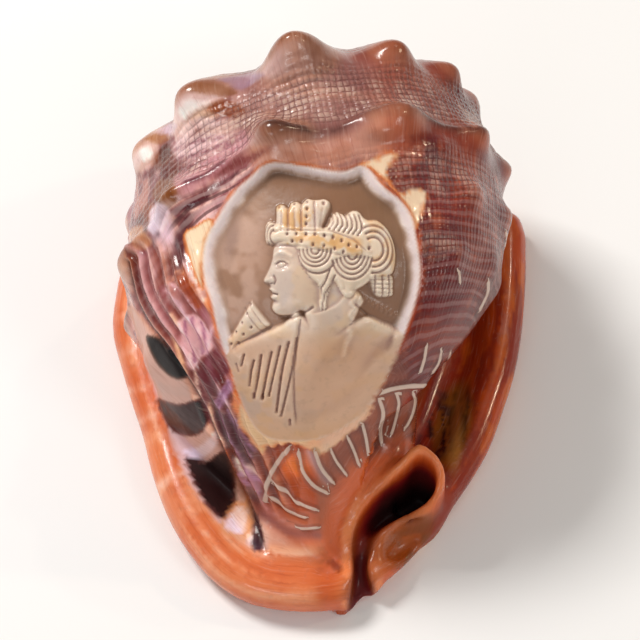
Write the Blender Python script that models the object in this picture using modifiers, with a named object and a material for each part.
"""A carved cameo shell, lying on its aperture: a bullmouth helmet shell with a cameo cut in its back.

The shell grew as one piece, so it is one solid. Sizes below are in millimetres, and the finished mesh is scaled to metres.
+Y points to the spire, +X to the shield's side, and +Z away from what the shell rests on.
"""
import math

import bmesh
import bpy
import numpy as np
from mathutils import Vector

MM = 0.001

# ------------------------------------------------------------ sizes
APEX = np.array([-2.5, 79.0, 39.0])  # tip of the spire
AXIS = np.array([-0.165, 0.985, -0.02])  # axis of coiling, towards the spire
GROWTH_PER_HALF_TURN = 1.36
PROFILE_U = [0, 10, 14, 16, 19, 23, 28, 34, 42, 54, 68, 78, 84, 90, 96, 102, 106, 110, 114, 118, 122, 140]
PROFILE_R = [-20, 0, 21, 28, 36, 42, 45.8, 48.2, 50, 51, 49.5, 47.2, 44.8, 41, 36, 29.5, 24, 18, 12, 7, 0, -20]
STRETCH_DEG = [-110, 20, 60, 90, 150, 190, 215, 240, 250]
STRETCH_K = [1.12, 1.12, 1.07, 1.0, 0.85, 0.8, 0.86, 1.02, 1.05]
SEAM_DEG = -110.0  # where the last whorl ends at the lip
# rows of knobs: distance from the apex, then each knob's angle, height, half width along the row and across it
KNOBS = [
    (27.5, [(-70, 3, 6, 5), (-45, 3, 6, 5), (-22, 3.5, 6, 5), (-3, 3.5, 6, 5), (18, 3.5, 6, 5), (42, 4.5, 6, 5),
            (68, 6.5, 6.5, 5.5), (99, 12.0, 8.0, 6.5), (131, 8.5, 8.5, 6.5), (157, 5.5, 8, 6), (190, 4, 7, 5.5)]),
    (53.0, [(-60, 2.5, 5, 4), (-35, 2.5, 5, 4), (-10, 3, 5, 4), (12, 4, 5, 4), (41, 4, 6, 4.5), (74, 6, 7, 5),
            (107, 6.5, 7, 5), (140, 5.5, 7, 5), (168, 4.0, 7, 5), (195, 3, 6, 5)]),
    (72.0, [(-40, 2, 5, 4), (-10, 2, 5, 4), (18, 2.5, 5, 4), (47, 2.6, 5, 4), (150, 2, 6, 4.5), (180, 2, 6, 4.5),
            (205, 2, 6, 4.5)]),
    (90.0, [(0, 1.2, 5, 4), (28, 1.2, 5, 4), (55, 1.3, 5, 4), (160, 1.4, 6, 4.5), (188, 1.4, 6, 4.5)]),
]
RIM_POINTS = [  # centre line of the rolled rim in plan, from the right side round by the front
    (53.5, 48.0), (54.0, 38.5), (53.5, 29.0), (52.0, 15.5), (49.5, 2.5), (46.0, -8.5), (42.0, -19.5), (37.0, -28.5),
    (31.0, -37.5), (25.0, -45.5), (19.0, -52.5), (12.5, -58.0), (6.0, -62.0), (-2.0, -63.0), (-10.5, -62.5),
    (-18.0, -60.5), (-25.0, -55.5), (-31.0, -48.0), (-36.0, -39.0), (-40.0, -28.0), (-43.0, -16.5), (-46.5, -6.0),
    (-50.0, 5.5), (-52.5, 15.5), (-52.0, 25.5), (-50.0, 36.0), (-43.0, 48.0), (-28.0, 58.0), (-6.0, 63.0), (16.0, 62.0),
    (34.0, 57.0), (45.0, 50.0),
]
RIM_R = 6.0  # radius of the rolled rim
RIM_Z = 5.5
CREST_LEFT = [  # edge of the canal's left wall, from the front to the tip
    (7.0, -66.0, 3.0), (8.0, -60.5, 6.0), (8.0, -56.0, 9.0), (8.0, -52.0, 13.0), (9.0, -48.5, 17.0), (11.5, -44.5, 21.0),
    (17.0, -40.5, 26.0), (22.0, -37.5, 30.0), (26.0, -34.5, 33.0),
]
CREST_RIGHT = [  # and of its right wall, from the tip back to the front
    (29.0, -36.0, 33.0), (31.0, -38.5, 31.5), (31.5, -41.0, 29.0), (30.5, -44.0, 26.0), (27.5, -46.0, 22.0),
    (23.0, -47.5, 19.0), (19.0, -48.5, 16.0), (15.5, -51.0, 13.0), (14.0, -55.0, 10.0), (13.5, -59.0, 8.0),
    (15.0, -63.0, 5.0),
]
SLIT_POINTS = [(-12, 46), (-14.5, 30), (-13.5, 10), (-9, -10), (-1, -28), (10, -38), (23, -40)]
SLIT_HALF = 3.6
SHAFT = (25.0, -39.5, 5.5, 5.0)  # centre and half widths of the canal's shaft
WALL = 5.5  # thickness of the whorl's wall
COLUMELLA_R = 11.0
CAMEO_DEPTH = 2.2
CAMEO_RAISE = 1.9
VOXEL = 1.5
TRIANGLES = 9300
BODY_COLOR = (0.42, 0.24, 0.19, 1.0)
ROUGHNESS = 0.28


# ------------------------------------------------------------ small helpers
def smin(a, b, k):
    h = np.clip(0.5 + 0.5 * (b - a) / k, 0, 1)
    return b * (1 - h) + a * h - k * h * (1 - h)


def smax(a, b, k):
    return -smin(-a, -b, k)


def sstep(a, b, x):
    t = np.clip((x - a) / (b - a), 0, 1)
    return t * t * (3 - 2 * t)


def pchip(xs, ys):
    """A monotone cubic through the points, as a function."""
    xs, ys = np.asarray(xs, float), np.asarray(ys, float)
    h = np.diff(xs)
    d = np.diff(ys) / h
    m = np.zeros(len(xs))
    for i in range(1, len(xs) - 1):
        if d[i - 1] * d[i] > 0:
            w1, w2 = 2 * h[i] + h[i - 1], h[i] + 2 * h[i - 1]
            m[i] = (w1 + w2) / (w1 / d[i - 1] + w2 / d[i])
    m[0], m[-1] = d[0], d[-1]

    def f(x):
        x = np.clip(x, xs[0], xs[-1])
        i = np.clip(np.searchsorted(xs, x, side="right") - 1, 0, len(xs) - 2)
        t = (x - xs[i]) / h[i]
        return (
            (1 + 2 * t) * (1 - t) ** 2 * ys[i]
            + t * (1 - t) ** 2 * h[i] * m[i]
            + t * t * (3 - 2 * t) * ys[i + 1]
            + t * t * (t - 1) * h[i] * m[i + 1]
        )

    return f


def smooth_line(pts, n, closed=False):
    """n points at even steps on a Catmull-Rom curve through the points."""
    pts = np.asarray(pts, float)
    m = len(pts)
    if closed:
        q = np.concatenate([pts[-1:], pts, pts[:2]])
        segments = m
    else:
        q = np.concatenate([2 * pts[:1] - pts[1:2], pts, 2 * pts[-1:] - pts[-2:-1]])
        segments = m - 1
    out = []
    for i in range(segments):
        p0, p1, p2, p3 = q[i : i + 4]
        for t in np.linspace(0, 1, 24, endpoint=False):
            out.append(
                0.5 * (2 * p1 + (p2 - p0) * t + (2 * p0 - 5 * p1 + 4 * p2 - p3) * t * t + (3 * p1 - p0 - 3 * p2 + p3) * t**3)
            )
    out.append(pts[0] if closed else pts[-1])
    out = np.array(out)
    s = np.concatenate([[0], np.cumsum(np.linalg.norm(np.diff(out, axis=0), axis=1))])
    at = np.linspace(0, s[-1], n, endpoint=not closed)
    return np.stack([np.interp(at, s, out[:, k]) for k in range(out.shape[1])], 1)


def near_line(xy, line, attrs=None, closed=False):
    """Distance in the plane to a polyline, and the line's attributes at the nearest point."""
    a = line[:, :2]
    b = np.roll(a, -1, 0) if closed else a[1:]
    a = a if closed else a[:-1]
    best = np.full(len(xy), 1e18)
    att = None if attrs is None else np.zeros((len(xy), attrs.shape[1]))
    for i in range(len(a)):
        ab = b[i] - a[i]
        t = np.clip(((xy - a[i]) @ ab) / max(ab @ ab, 1e-12), 0, 1)
        d = ((xy - a[i] - t[:, None] * ab) ** 2).sum(1)
        m = d < best
        best[m] = d[m]
        if att is not None:
            att[m] = attrs[i] + t[m, None] * (attrs[(i + 1) % len(attrs)] - attrs[i])
    return np.sqrt(best), att


def inside_poly(xy, line):
    x, y = xy[:, 0], xy[:, 1]
    res = np.zeros(len(xy), bool)
    for i in range(len(line)):
        x0, y0 = line[i][0], line[i][1]
        x1, y1 = line[(i + 1) % len(line)][0], line[(i + 1) % len(line)][1]
        if y0 == y1:
            continue
        res ^= ((y0 > y) != (y1 > y)) & (x < (x1 - x0) * (y - y0) / (y1 - y0) + x0)
    return res


def plan_sd(xy, poly):
    """Distance to the polygon's edge in plan, negative inside."""
    d, _ = near_line(xy, poly, closed=True)
    return np.where(inside_poly(xy, poly), -d, d)


def in_box(p, lo, hi):
    return ((p > lo) & (p < hi)).all(1)


# ------------------------------------------------------------ the coiled body
AX = AXIS / np.linalg.norm(AXIS)
E1 = np.cross(AX, [0, 0, 1.0])
E1 = E1 / np.linalg.norm(E1)
E2 = np.cross(E1, AX)
K = math.log(GROWTH_PER_HALF_TURN) / math.pi
WHORL = math.exp(2 * math.pi * K)
profile = pchip(PROFILE_U, PROFILE_R)
stretch = pchip(STRETCH_DEG, STRETCH_K)


def shell_coords(p):
    """The angle of growth, the distance from the apex along the axis, and the distance from the axis."""
    d = p - APEX
    x, z = d @ E1, d @ E2
    phi = np.arctan2(z, x)
    return np.where(phi < math.radians(SEAM_DEG), phi + 2 * math.pi, phi), -(d @ AX), np.hypot(x, z)


def growth(phi):
    return np.exp(K * (phi - math.pi / 2))


def body_radius(phi, q):
    g = growth(phi)
    u = q / g
    r = g * profile(np.where(u > 60, 60 + (u - 60) / stretch(np.degrees(phi)), u))
    for n in (1, 2, 3):
        gn = g * WHORL**-n
        rn = np.where(q / gn < 60, gn * profile(q / gn), gn * 50.5)
        r = np.maximum(r, np.where(q < 40, rn, 0))
    return r


def knobs(phi, q):
    g = growth(phi)
    out = np.zeros(np.shape(phi))
    for u0, row in KNOBS:
        for deg, height, along, across in row:
            at = math.radians(deg)
            dx = (phi - at) * growth(at) * 50 / along
            dy = (q / g - u0) * g / across
            out = np.maximum(out, height * np.exp(-0.9 * (dx * dx + dy * dy)))
    return out


def body(p):
    phi, q, rho = shell_coords(p)
    r = body_radius(phi, q)
    slope = np.clip(body_radius(phi, q + 0.5) - body_radius(phi, q - 0.5), -2.5, 2.5)
    f = (rho - r) / np.sqrt(1 + slope * slope)
    near = np.abs(f) < 14
    if near.any():
        f[near] -= knobs(phi[near], q[near])
    return f


def neck_fill(p):
    """The twisted fold under the whorl's front end, a tapering rod."""
    a, b = np.array([11.0, 4.0, 24.0]), np.array([15.0, -38.0, 16.0])
    ab = b - a
    t = np.clip(((p - a) @ ab) / (ab @ ab), 0, 1)
    return np.linalg.norm(p - a - t[:, None] * ab, axis=1) - (17 - 7.0 * t)


# ------------------------------------------------------------ rim, canal and hollows
RIM = smooth_line(RIM_POINTS, 96, closed=True)
CREST = smooth_line(CREST_LEFT + CREST_RIGHT, 64)
N_LEFT = int(64 * len(CREST_LEFT) / (len(CREST_LEFT) + len(CREST_RIGHT)))
TROUGH = np.concatenate([CREST[:, :2], [CREST[-1, :2] + [1, -10], CREST[0, :2] + [-1, -10]]])
FRONT = np.array([(7.2, -90), *[tuple(c[:2]) for c in CREST[:N_LEFT]], (30, -31), (42, -40), (60, -56), (60, -90)])
SLIT = smooth_line(SLIT_POINTS, 60)


def base(p):
    """The rolled rim, the plate inside it and the apron at the front."""
    x, y, z = p[:, 0], p[:, 1], p[:, 2]
    sd = plan_sd(p[:, :2], RIM)
    w = 6.0 + 1.5 * sstep(10, -25, x)
    tube = np.sqrt(sd**2 + ((z - RIM_Z) * 0.95) ** 2) - RIM_R
    roll = np.sqrt(((sd + w - 4.5) / (w / 5.6)) ** 2 + (z - RIM_Z) ** 2) - 5.6
    plate = smax(sd, z - 6.0 - 8.5 * sstep(13, 24, -sd), 2.0)
    apron = (np.sqrt(((x + 5) / 17) ** 2 + ((y + 47) / 15) ** 2 + ((z - 3) / 13) ** 2) - 1) * 13
    return smin(smin(smin(tube, roll, 2.0), plate, 4.0) + 0.9 * sstep(0, 20, x), apron, 4.0)


def left_wall(p):
    line = CREST[: N_LEFT + 4]
    d, a = near_line(p[:, :2], line, line[:, 2:3])
    thin = smax(d - 1.3, p[:, 2] - a[:, 0], 1.5)
    line = CREST[:N_LEFT]
    d, a = near_line(p[:, :2], line, line[:, 2:3])
    slope = smax(p[:, 2] - (a[:, 0] - 1.0 - 0.62 * d), d - 16, 4.0)
    slope = smax(np.maximum(slope, -plan_sd(p[:, :2], FRONT)), p[:, 0] - 22, 3.0)
    return np.minimum(thin, slope)


def right_wall(p):
    line = CREST[N_LEFT - 3 :]
    half = 1.1 + 0.4 * sstep(0.05, 0.3, np.linspace(0, 1, len(line)))
    d, a = near_line(p[:, :2], line, np.stack([line[:, 2], half], 1))
    side = d - a[:, 1] - np.clip(a[:, 0] - p[:, 2], 0, 40) * 0.035
    return smax(smax(side, plan_sd(p[:, :2], RIM) - 5.0, 2.0), p[:, 2] - a[:, 0], 1.6)


def trough(p):
    """What is open between the canal's walls, with the shaft down to the aperture."""
    sd = plan_sd(p[:, :2], TROUGH) + 1.0
    open_top = smax(sd, 2.5 + 11 * sstep(-64, -44, p[:, 1]) - p[:, 2], 2.5)
    x, y, a, b = SHAFT
    shaft = (np.hypot((p[:, 0] - x) / a, (p[:, 1] - y) / b) - 1) * b
    return smin(open_top, smax(sd, shaft, 1.0), 1.5)


def recess(p):
    """The hollow between the canal's outer wall and the rim."""
    d = p - np.array([22.8, -52.0, 12.5])
    x, y = d[:, 0] * 0.8 + d[:, 1] * 0.6, d[:, 1] * 0.8 - d[:, 0] * 0.6
    e = (np.sqrt((x / 7.0) ** 2 + (y / 3.4) ** 2 + (d[:, 2] / 7.5) ** 2) - 1) * 3.4
    return smax(e, 5.0 - p[:, 2], 1.5)


def slit(p):
    d, _ = near_line(p[:, :2], SLIT)
    half = SLIT_HALF + 0.6 * sstep(0, 14, p[:, 2])
    return smax(d - half, p[:, 2] - 16 + 8 * sstep(-28, -38, p[:, 1]), 2.0)


def cavity(p, solid):
    """The room inside the last whorl."""
    phi, q, rho = shell_coords(p)
    deg = np.degrees(phi)
    column = COLUMELLA_R + 6 * sstep(95, 60, q) - rho
    arc = np.maximum(rho, 6) * 0.0175
    c = smax(smax(solid + WALL, column, 4.0), (60 - deg) * arc, 6.0)
    c = smax(c, (deg - 246 + 40 * sstep(80, 98, q)) * arc, 3.0)
    return smax(smax(c, q - 98, 8.0), 9.5 - p[:, 2], 3.0)


def underside(p):
    """Height of the underside: it rests near its edge and is hollowed inside."""
    sd = plan_sd(p[:, :2], RIM)
    d, _ = near_line(p[:, :2], SLIT)
    return -4 * sstep(6.5, 4.0, -sd) + 2.6 * sstep(5.0, 13.0, -sd) + 3.0 * np.exp(-((d / 8.0) ** 2)) * sstep(4.0, 9.0, -sd)


# ------------------------------------------------------------ the cameo, in a frame seen square on to the carving
EYE = np.array([0.0, -math.cos(math.radians(62)), math.sin(math.radians(62))]) * 620 + np.array([0, 0, 40.0])
LOOK = (np.array([0, 0, 40.0]) - EYE) / 620
UP = np.array([0.0, math.sin(math.radians(62)), math.cos(math.radians(62))])
CAMEO_OUTLINE = [  # the carved oval
    (-18.5, 38.0), (-13.5, 42.0), (-5.0, 41.0), (6.0, 39.5), (11.5, 41.5), (17.0, 35.5), (21.5, 32.5), (24.5, 27.0),
    (26.0, 19.5), (27.0, 12.5), (26.0, 5.0), (23.5, -1.0), (21.5, -7.0), (17.0, -16.5), (11.5, -24.5), (4.0, -30.0),
    (-5.0, -32.0), (-13.0, -31.5), (-17.5, -28.5), (-21.0, -21.0), (-24.5, -11.5), (-27.0, -3.5), (-29.0, 4.5),
    (-31.0, 12.5), (-30.5, 21.0), (-27.5, 27.0), (-23.0, 33.5),
]
CAMEO_BLOBS = [  # centre, half widths and tilt of the bust's masses: hair, bun, head, neck, shoulders
    (5.5, 20.5, 14.5, 9.0, 0), (17.5, 20.0, 7.0, 8.0, 0), (-5.0, 28.0, 8.0, 5.5, 20), (-2.0, 14.0, 8.5, 9.5, 0),
    (2.5, 4.0, 7.5, 10.0, 0), (-1.0, -14.5, 20.5, 14.5, 8),
]


def cameo(p):
    """Depth of the carving below the shell's own surface."""
    d = p - EYE
    z = d @ LOOK
    uv = np.stack([d[:, 0] / z, (d @ UP) / z], 1) * 620
    sd = plan_sd(uv, np.array(CAMEO_OUTLINE))
    bust = np.full(len(p), 99.0)
    for x, y, a, b, tilt in CAMEO_BLOBS:
        c, s = math.cos(math.radians(tilt)), math.sin(math.radians(tilt))
        dx, dy = uv[:, 0] - x, uv[:, 1] - y
        e = (np.hypot((dx * c + dy * s) / a, (dy * c - dx * s) / b) - 1) * min(a, b)
        bust = smin(bust, e, 3.0)
    cut = CAMEO_DEPTH * sstep(0.5, -2.0, sd)
    return cut - np.minimum(cut, CAMEO_RAISE * sstep(0.8, -1.6, bust))


def field(p):
    """Distance to the shell's surface, negative inside."""
    b = smin(body(p), neck_fill(p), 8.0)
    m = in_box(p, [0, -90, -5], [60, -30, 70])
    if m.any():
        b[m] = smax(b[m], -plan_sd(p[m][:, :2], FRONT), 3.0)
    m = in_box(p, [-25, -90, -5], [60, -5, 80])
    if m.any():
        line = CREST[:N_LEFT]
        d, a = near_line(p[m][:, :2], line, line[:, 2:3])
        b[m] = smax(b[m], (p[m][:, 2] - (a[:, 0] - 3.0 + 1.2 * d + 0.07 * d * d)) / 2.2, 6.0)
    m = p[:, 1] < -30
    if m.any():
        b[m] = smax(b[m], plan_sd(p[m][:, :2], RIM) + 4, 6.0)
    f = smin(b, base(p), 5.0)
    m = in_box(p, [-20, -90, -5], [50, -20, 60])
    if m.any():
        q = p[m]
        g = smin(smin(f[m], left_wall(q), 3.5), right_wall(q), 2.5)
        f[m] = smax(smax(g, -recess(q), 2.0), -trough(q), 1.2)
    m = (p[:, 2] > 35) & (np.abs(f) < 5)
    if m.any():
        f[m] += cameo(p[m])
    m = p[:, 2] < 20
    if m.any():
        f[m] = smax(f[m], -slit(p[m]), 2.5)
    f = np.maximum(f, -cavity(p, b))
    m = p[:, 2] < 12
    if m.any():
        f[m] = np.maximum(f[m], underside(p[m]) - p[m][:, 2])
    return f


# ------------------------------------------------------------ Blender helpers
def clear_scene():
    for obj in list(bpy.data.objects):
        bpy.data.objects.remove(obj, do_unlink=True)


def new_object(name, mesh, collection):
    obj = bpy.data.objects.new(name, mesh)
    collection.objects.link(obj)
    return obj


def mesh_of(obj):
    """A mesh copy of the object with its modifiers and bevels applied."""
    bpy.context.view_layer.update()
    graph = bpy.context.evaluated_depsgraph_get()
    mesh = bpy.data.meshes.new_from_object(obj.evaluated_get(graph))
    bm = bmesh.new()
    bm.from_mesh(mesh)
    bmesh.ops.remove_doubles(bm, verts=bm.verts, dist=1e-4)
    bmesh.ops.recalc_face_normals(bm, faces=bm.faces)
    bm.to_mesh(mesh)
    bm.free()
    return mesh


def apply(obj, name, kind, **settings):
    """Adds a modifier and applies it."""
    mod = obj.modifiers.new(name, kind)
    for key, value in settings.items():
        setattr(mod, key, value)
    bpy.context.view_layer.update()
    graph = bpy.context.evaluated_depsgraph_get()
    mesh = bpy.data.meshes.new_from_object(obj.evaluated_get(graph))
    obj.modifiers.remove(mod)
    old = obj.data
    obj.data = mesh
    bpy.data.meshes.remove(old)


def curve_mesh(name, points, collection, closed=False, bevel=0.0, extrude=0.0, fill=False, radii=None):
    """A tube or a filled outline from a polyline, as a closed mesh."""
    curve = bpy.data.curves.new(name, "CURVE")
    curve.dimensions = "2D" if fill else "3D"
    curve.fill_mode = "BOTH" if fill else "FULL"
    curve.use_fill_caps = not fill
    curve.bevel_depth = bevel
    curve.bevel_resolution = 4
    curve.extrude = extrude
    spline = curve.splines.new("POLY")
    spline.points.add(len(points) - 1)
    for i, pt in enumerate(points):
        spline.points[i].co = (pt[0], pt[1], pt[2] if len(pt) > 2 else 0.0, 1.0)
        if radii is not None:
            spline.points[i].radius = radii[i]
    spline.use_cyclic_u = closed
    obj = new_object(name + "_curve", curve, collection)
    mesh = mesh_of(obj)
    bpy.data.objects.remove(obj, do_unlink=True)
    return new_object(name, mesh, collection)


def sphere(name, collection, place, size, u=48, v=32):
    """A UV sphere scaled to an ellipsoid."""
    bm = bmesh.new()
    bmesh.ops.create_uvsphere(bm, u_segments=u, v_segments=v, radius=1.0)
    for vert in bm.verts:
        vert.co = Vector(place) + Vector((vert.co.x * size[0], vert.co.y * size[1], vert.co.z * size[2]))
    return bmesh_object(name, bm, collection)


def whorl(name, collection, knobby=True):
    """A UV sphere whose points are moved to the coiled body: longitude is the angle of growth, latitude runs along the axis."""
    bm = bmesh.new()
    bmesh.ops.create_uvsphere(bm, u_segments=192, v_segments=120, radius=1.0)
    bm.verts.ensure_lookup_table()
    co = np.array([v.co[:] for v in bm.verts])
    phi = np.arctan2(co[:, 1], co[:, 0])
    phi = np.where(phi < math.radians(SEAM_DEG) - 1e-6, phi + 2 * math.pi, phi)
    t = np.arccos(np.clip(co[:, 2], -1, 1)) / math.pi
    end = growth(phi) * (60 + 62 * stretch(np.degrees(phi)))
    q = 1.5 + (end - 1.5) * (0.5 - 0.5 * np.cos(math.pi * t))
    q = np.where(t < 0.004, 1.5, q)
    r = np.maximum(body_radius(phi, q) + knobby * knobs(phi, q), 0) * (t < 0.999)
    p = APEX - q[:, None] * AX + (r * np.cos(phi))[:, None] * E1 + (r * np.sin(phi))[:, None] * E2
    for vert, place in zip(bm.verts, p):
        vert.co = place
    return bmesh_object(name, bm, collection)


def bmesh_object(name, bm, collection):
    bmesh.ops.recalc_face_normals(bm, faces=bm.faces)
    mesh = bpy.data.meshes.new(name)
    bm.to_mesh(mesh)
    bm.free()
    return new_object(name, mesh, collection)


def block(name, size, place, collection):
    bm = bmesh.new()
    bmesh.ops.create_cube(bm, size=1.0)
    bmesh.ops.scale(bm, verts=bm.verts, vec=size)
    bmesh.ops.translate(bm, verts=bm.verts, vec=place)
    return bmesh_object(name, bm, collection)


def fix_normals(mesh):
    bm = bmesh.new()
    bm.from_mesh(mesh)
    bmesh.ops.recalc_face_normals(bm, faces=bm.faces)
    bm.to_mesh(mesh)
    bm.free()


def points(obj):
    co = np.empty(len(obj.data.vertices) * 3)
    obj.data.vertices.foreach_get("co", co)
    return co.reshape(-1, 3)


def set_points(obj, co):
    obj.data.vertices.foreach_set("co", np.ascontiguousarray(co, dtype=np.float32).ravel())
    obj.data.update()


def join(objects, name, collection):
    bm = bmesh.new()
    for obj in objects:
        bm.from_mesh(obj.data)
    for obj in objects:
        bpy.data.objects.remove(obj, do_unlink=True)
    mesh = bpy.data.meshes.new(name)
    bm.to_mesh(mesh)
    bm.free()
    return new_object(name, mesh, collection)


def settle(obj, rounds, step=1.4):
    """Draws the mesh's points onto the shell's surface, and evens them out on the way."""
    mesh = obj.data
    co = points(obj)
    n = len(co)
    edges = np.empty(len(mesh.edges) * 2, dtype=np.int32)
    mesh.edges.foreach_get("vertices", edges)
    edges = edges.reshape(-1, 2)
    count = np.maximum(np.bincount(edges.ravel(), minlength=n), 1)[:, None]
    h = 0.15
    for i in range(rounds):
        f = field(co)
        grad = np.stack([field(co + h * np.eye(3)[k]) for k in range(3)], 1) - f[:, None]
        grad /= h
        move = -(f / np.maximum((grad**2).sum(1), 0.2))[:, None] * grad
        length = np.maximum(np.linalg.norm(move, axis=1, keepdims=True), 1e-9)
        co = co + move * np.minimum(1, step / length)
        if i < rounds - 1:
            total = np.stack(
                [
                    np.bincount(edges[:, 0], co[edges[:, 1], k], n) + np.bincount(edges[:, 1], co[edges[:, 0], k], n)
                    for k in range(3)
                ],
                1,
            )
            co = co + 0.4 * (total / count - co)
    set_points(obj, co)


def remesh(obj, size):
    apply(obj, "remesh", "REMESH", mode="VOXEL", voxel_size=size, adaptivity=0.0)


def cut(obj, cutter, solver="EXACT"):
    """Takes the cutter's shape out of the object, and removes the cutter."""
    apply(obj, "cut", "BOOLEAN", operation="DIFFERENCE", object=cutter, solver=solver)
    bpy.data.objects.remove(cutter, do_unlink=True)


def wall_pieces(collection):
    """Upright slabs along the canal's edge, with sloping ground outside the left wall."""
    pieces = []
    for a, b in zip(CREST[:-1], CREST[1:]):
        along = Vector((b[0] - a[0], b[1] - a[1], 0))
        length = along.length + 1.4
        along.normalize()
        side = Vector((-along.y, along.x, 0))
        middle = Vector(((a[0] + b[0]) / 2, (a[1] + b[1]) / 2, 0))
        top = min(a[2], b[2])
        bm = bmesh.new()
        bmesh.ops.create_cube(bm, size=1.0)
        for v in bm.verts:
            v.co = middle + along * (v.co.x * length) + side * (v.co.y * 3.0) + Vector((0, 0, top * (0.5 + v.co.z)))
        pieces.append(bmesh_object("wall", bm, collection))
    for i in range(3, N_LEFT - 4, 2):
        a, b = CREST[i], CREST[i + 1]
        away = Vector((-(b[1] - a[1]), b[0] - a[0], 0)).normalized()
        r = min(0.75 * a[2], 12.0)
        bm = bmesh.new()
        bmesh.ops.create_cone(bm, cap_ends=True, segments=24, radius1=r, radius2=1.0, depth=a[2] - 3)
        place = Vector((a[0], a[1], (a[2] - 3) / 2)) + away * r * 0.8
        bmesh.ops.translate(bm, verts=bm.verts, vec=place)
        pieces.append(bmesh_object("slope", bm, collection))
    return pieces


def canal_cutter(collection):
    """The canal's open top, whose floor rises to the back, and the shaft down to the aperture."""
    ahead = np.gradient(CREST[:, :2], axis=0)
    ahead /= np.linalg.norm(ahead, axis=1)[:, None]
    inner = CREST[:, :2] + 1.1 * np.stack([ahead[:, 1], -ahead[:, 0]], 1)
    outline = [tuple(p) for p in inner] + [(inner[-1][0], inner[-1][1] - 12), (inner[0][0], inner[0][1] - 12)]
    top = curve_mesh("top", outline, collection, closed=True, extrude=40.0, fill=True)
    for v in top.data.vertices:
        v.co.z = 60.0 if v.co.z > 0 else 2.5 + 11 * float(sstep(-64, -44, v.co.y))
    x, y, a, b = SHAFT
    bm = bmesh.new()
    bmesh.ops.create_cone(bm, cap_ends=True, segments=24, radius1=4.0, radius2=3.0, depth=60.0)
    bmesh.ops.translate(bm, verts=bm.verts, vec=(x + 0.5, y - 0.5, 20))
    shaft = bmesh_object("shaft", bm, collection)
    apply(top, "shaft", "BOOLEAN", operation="UNION", object=shaft, solver="EXACT")
    bpy.data.objects.remove(shaft, do_unlink=True)
    return top


def room_cutter(collection):
    """The space inside the last whorl: the body made smaller, without the column it winds round."""
    room = whorl("room", collection, knobby=False)
    co = points(room)
    phi, q, rho = shell_coords(co)
    centre = APEX - q[:, None] * AX
    slope = np.clip(body_radius(phi, q + 0.5) - body_radius(phi, q - 0.5), -2.5, 2.5)
    inner = np.maximum(rho - 1.3 * WALL * np.sqrt(1 + slope * slope), 0.3)
    co = centre + (co - centre) * (inner / np.maximum(rho, 0.3))[:, None]
    set_points(room, co)
    turn = Vector((0, 0, 1)).rotation_difference(Vector(-AX))
    bm = bmesh.new()
    bmesh.ops.create_cone(bm, cap_ends=True, segments=48, radius1=17.0, radius2=10.0, depth=200.0)
    bmesh.ops.rotate(bm, verts=bm.verts, cent=(0, 0, 0), matrix=turn.to_matrix())
    bmesh.ops.translate(bm, verts=bm.verts, vec=Vector(APEX) - Vector(AX) * 60)
    cut(room, bmesh_object("column", bm, collection))
    # what the lip side and the shield side leave solid
    edges = []
    for deg in (-100, -60, -20, 20, 62):
        edges.append((math.cos(math.radians(deg)) * 150, math.sin(math.radians(deg)) * 150, 0))
    side = curve_mesh("side", [(0, 0, 0)] + edges, collection, closed=True, extrude=150.0, fill=True)
    place = np.array([list(v.co) for v in side.data.vertices])
    set_points(side, APEX + place[:, :1] * E1 + place[:, 1:2] * E2 + place[:, 2:3] * AX)
    fix_normals(side.data)
    cut(room, side)
    cut(room, block("floor", (300, 300, 100), (0, 0, 9.5 - 50), collection))
    cut(room, block("end", (300, 100, 300), (0, APEX[1] - 98 - 50, 0), collection))
    return room


def slit_cutter(collection, width, top):
    """The aperture: an upright curved ribbon with thickness."""
    ribbon = curve_mesh("aperture", [(x, y, top - 15.0) for x, y in SLIT], collection, extrude=15.0)
    apply(ribbon, "width", "SOLIDIFY", thickness=width, offset=0.0)
    fix_normals(ribbon.data)
    return ribbon


def finish(shell, parts, helpers):
    """Fewer triangles, a flat ring to rest on, the origin below the middle, and metres."""
    fewer = TRIANGLES / (2.0 * len(shell.data.polygons))
    apply(shell, "fewer", "DECIMATE", decimate_type="COLLAPSE", ratio=fewer, use_collapse_triangulate=True)
    cut(shell, block("ground", (300, 300, 60), (0, 0, -30), helpers), "MANIFOLD")
    bm = bmesh.new()
    bm.from_mesh(shell.data)
    bmesh.ops.dissolve_degenerate(bm, dist=0.02, edges=bm.edges)
    bmesh.ops.triangulate(bm, faces=bm.faces)
    bm.to_mesh(shell.data)
    bm.free()
    co = points(shell)
    co[np.abs(co[:, 2]) < 0.004, 2] = 0.0
    middle = (co.min(0) + co.max(0)) / 2
    print("middle", middle, "box", co.min(0), co.max(0), "triangles", len(shell.data.polygons))
    co[:, :2] -= np.round(middle[:2], 2)
    set_points(shell, co * MM)
    shell.data.shade_smooth()
    shell.data.set_sharp_from_angle(angle=math.radians(50))
    material = bpy.data.materials.new("shell")
    material.use_nodes = True
    surface = material.node_tree.nodes["Principled BSDF"]
    surface.inputs["Base Color"].default_value = BODY_COLOR
    surface.inputs["Roughness"].default_value = ROUGHNESS
    surface.inputs["Metallic"].default_value = 0.0
    shell.data.materials.clear()
    shell.data.materials.append(material)
    helpers.objects.unlink(shell)
    parts.objects.link(shell)
    shell.name = "shell"
    shell.data.name = "shell"


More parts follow.
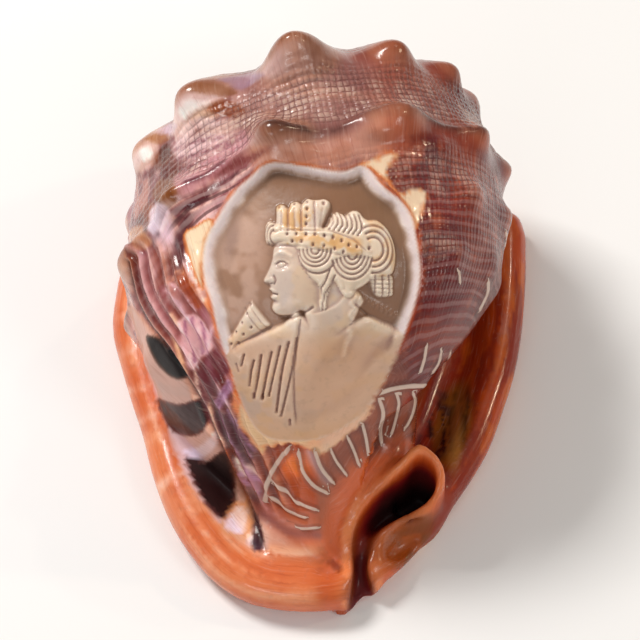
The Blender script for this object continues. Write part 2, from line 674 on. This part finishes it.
def main():
    clear_scene()
    scene = bpy.context.scene
    parts = bpy.data.collections.new("cameo_shell")
    helpers = bpy.data.collections.new("cutters")
    scene.collection.children.link(parts)
    scene.collection.children.link(helpers)

    # the coiled body with the fold under its front end, cut back at the front where the canal turns up
    fold = curve_mesh("fold", [(11, 4, 24), (13, -17, 20), (15, -38, 16)], helpers, bevel=13.5, radii=[1.25, 1.0, 0.75])
    shell = join([whorl("whorl", helpers), fold], "shell", helpers)
    remesh(shell, VOXEL)
    cut(shell, block("ground", (300, 300, 60), (0, 0, -31), helpers))
    cut(shell, curve_mesh("front", [(x, y, 0) for x, y in FRONT], helpers, closed=True, extrude=90.0, fill=True))

    # the rolled rim, the plate inside it, the apron at the front and the canal's walls
    rim = curve_mesh("rim", [(x, y, RIM_Z) for x, y in RIM], helpers, closed=True, bevel=RIM_R)
    plate = curve_mesh("plate", [(x, y, 1.5) for x, y in RIM], helpers, closed=True, extrude=4.5, fill=True)
    apron = sphere("apron", helpers, (-5, -47, 3), (17, 15, 13))
    core = curve_mesh("core", [(0.64 * x + 0.7, 0.64 * y, 4.0) for x, y in RIM], helpers, closed=True, extrude=8.0, fill=True)
    shell = join([shell, rim, plate, core, apron] + wall_pieces(helpers), "shell", helpers)
    remesh(shell, VOXEL)

    # the canal, the aperture's curved slit and the room inside the last whorl
    cut(shell, block("ground", (300, 300, 60), (0, 0, -33.5), helpers))
    cut(shell, canal_cutter(helpers))
    cut(shell, room_cutter(helpers))
    outline = [(0.8 * x + 0.3, 0.8 * y, -8.4) for x, y in RIM]
    cut(shell, curve_mesh("under", outline, helpers, closed=True, extrude=10.0, fill=True), "MANIFOLD")
    cut(shell, slit_cutter(helpers, 12.0, 3.5), "MANIFOLD")
    cut(shell, slit_cutter(helpers, 2 * SLIT_HALF, 13.0), "MANIFOLD")
    remesh(shell, VOXEL)
    print("before settling", len(shell.data.vertices), points(shell).min(0), points(shell).max(0))

    # the surface is drawn onto the shell's true shape, cameo and all
    settle(shell, 5)
    remesh(shell, VOXEL)
    settle(shell, 7)
    finish(shell, parts, helpers)


main()
